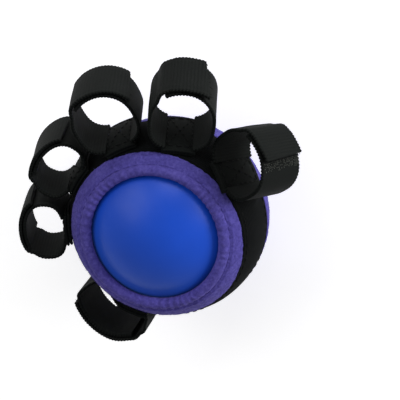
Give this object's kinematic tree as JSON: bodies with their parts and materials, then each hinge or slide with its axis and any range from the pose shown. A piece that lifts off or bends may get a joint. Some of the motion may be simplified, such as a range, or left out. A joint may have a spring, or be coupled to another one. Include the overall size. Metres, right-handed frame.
{
  "type": "hand grip strengthener",
  "caption": "Soft ball in a padded cloth cover with a webbing belt and adjustable hook-and-loop straps for the fingers and thumb.",
  "frame": {"origin": "centre of the flat base that the cover rests on", "axes": "+Z along the axis of the round opening, out of the opening; +Y towards the middle of the row of finger straps"},
  "size_m": [0.1064, 0.0945, 0.0641],
  "materials": {
    "ball_rubber": "smooth semi-matte soft rubber",
    "liner_foam": "open-cell foam lining, laminated",
    "cover_pile": "brushed loop-pile cloth",
    "elastic_cord": "covered elastic cord",
    "belt_webbing": "flat woven webbing",
    "loop_tape": "napped loop tape",
    "hook_tape": "ribbed hook tape"
  },
  "bodies": {
    "root": {"foam_liner": "liner_foam", "cover_front_ring": "cover_pile", "cover_side_wall": "cover_pile", "cover_base_pad": "cover_pile", "rim_binding": "cover_pile", "rim_elastic": "elastic_cord", "belt": "belt_webbing", "index_strap_root": "loop_tape", "middle_strap_root": "loop_tape", "ring_strap_root": "loop_tape", "little_strap_root": "loop_tape", "thumb_strap_root": "loop_tape", "spare_strap_root": "loop_tape"},
    "ball": {"ball": "ball_rubber"},
    "index_loop": {"index_loop_tape": "loop_tape", "index_hook_tape": "hook_tape"},
    "index_tail": {"index_hook_tail": "hook_tape"},
    "middle_loop": {"middle_loop_tape": "loop_tape", "middle_hook_tape": "hook_tape"},
    "middle_tail": {"middle_hook_tail": "hook_tape"},
    "ring_loop": {"ring_loop_tape": "loop_tape", "ring_hook_tape": "hook_tape"},
    "ring_tail": {"ring_hook_tail": "hook_tape"},
    "little_loop": {"little_loop_tape": "loop_tape", "little_hook_tape": "hook_tape"},
    "little_tail": {"little_hook_tail": "hook_tape"},
    "thumb_loop": {"thumb_loop_tape": "loop_tape", "thumb_hook_tape": "hook_tape"},
    "thumb_tail": {"thumb_hook_tail": "hook_tape"},
    "spare_loop": {"spare_loop_tape": "loop_tape", "spare_hook_tape": "hook_tape"},
    "spare_tail": {"spare_hook_tail": "hook_tape"}
  },
  "joints": [
    {"name": "ball_turn", "type": "hinge", "parent": "root", "child": "ball", "pos_m": [0, 0, 0.03307], "axis": [0, 0, 1], "continuous": true},
    {"name": "index_lean", "type": "hinge", "parent": "root", "child": "index_loop", "pos_m": [0.02727, 0.02306, 0.04483], "axis": [-0.6833, 0.6967, 0.2187], "range_deg": [-5, 15]},
    {"name": "index_peel", "type": "hinge", "parent": "index_loop", "child": "index_tail", "pos_m": [0.04113, 0.04061, 0.05316], "axis": [-0.0838, -0.3723, 0.9243], "range_deg": [0, 75]},
    {"name": "middle_lean", "type": "hinge", "parent": "root", "child": "middle_loop", "pos_m": [0.00913, 0.03488, 0.04372], "axis": [-0.97, 0.2293, 0.0807], "range_deg": [-5, 15]},
    {"name": "middle_peel", "type": "hinge", "parent": "middle_loop", "child": "middle_tail", "pos_m": [0.00999, 0.05586, 0.05017], "axis": [0.0099, -0.2944, 0.9556], "range_deg": [0, 75]},
    {"name": "ring_lean", "type": "hinge", "parent": "root", "child": "ring_loop", "pos_m": [-0.01247, 0.03435, 0.04194], "axis": [-0.9423, -0.3328, -0.0363], "range_deg": [-5, 15]},
    {"name": "ring_peel", "type": "hinge", "parent": "ring_loop", "child": "ring_tail", "pos_m": [-0.02145, 0.0469, 0.04539], "axis": [0.0453, -0.2343, 0.9711], "range_deg": [0, 75]},
    {"name": "little_lean", "type": "hinge", "parent": "root", "child": "little_loop", "pos_m": [-0.02994, 0.02163, 0.04011], "axis": [-0.6001, -0.7901, -0.1249], "range_deg": [-5, 15]},
    {"name": "little_peel", "type": "hinge", "parent": "little_loop", "child": "little_tail", "pos_m": [-0.04459, 0.02712, 0.04245], "axis": [0.0762, -0.2119, 0.9743], "range_deg": [0, 75]},
    {"name": "thumb_lean", "type": "hinge", "parent": "root", "child": "thumb_loop", "pos_m": [0.0354, 0.00028, 0.04574], "axis": [0.1307, 0.9133, -0.3857], "range_deg": [-5, 15]},
    {"name": "thumb_peel", "type": "hinge", "parent": "thumb_loop", "child": "thumb_tail", "pos_m": [0.05491, 0.00466, 0.05072], "axis": [-0.3106, 0.4072, 0.8589], "range_deg": [0, 75]},
    {"name": "spare_lean", "type": "hinge", "parent": "root", "child": "spare_loop", "pos_m": [-0.03129, -0.02017, 0.03837], "axis": [0.5439, -0.839, 0.0181], "range_deg": [-14, 3]},
    {"name": "spare_peel", "type": "hinge", "parent": "spare_loop", "child": "spare_tail", "pos_m": [-0.04019, -0.02653, 0.03802], "axis": [-0.0375, -0.0028, 0.9993], "range_deg": [0, 75]}
  ]
}
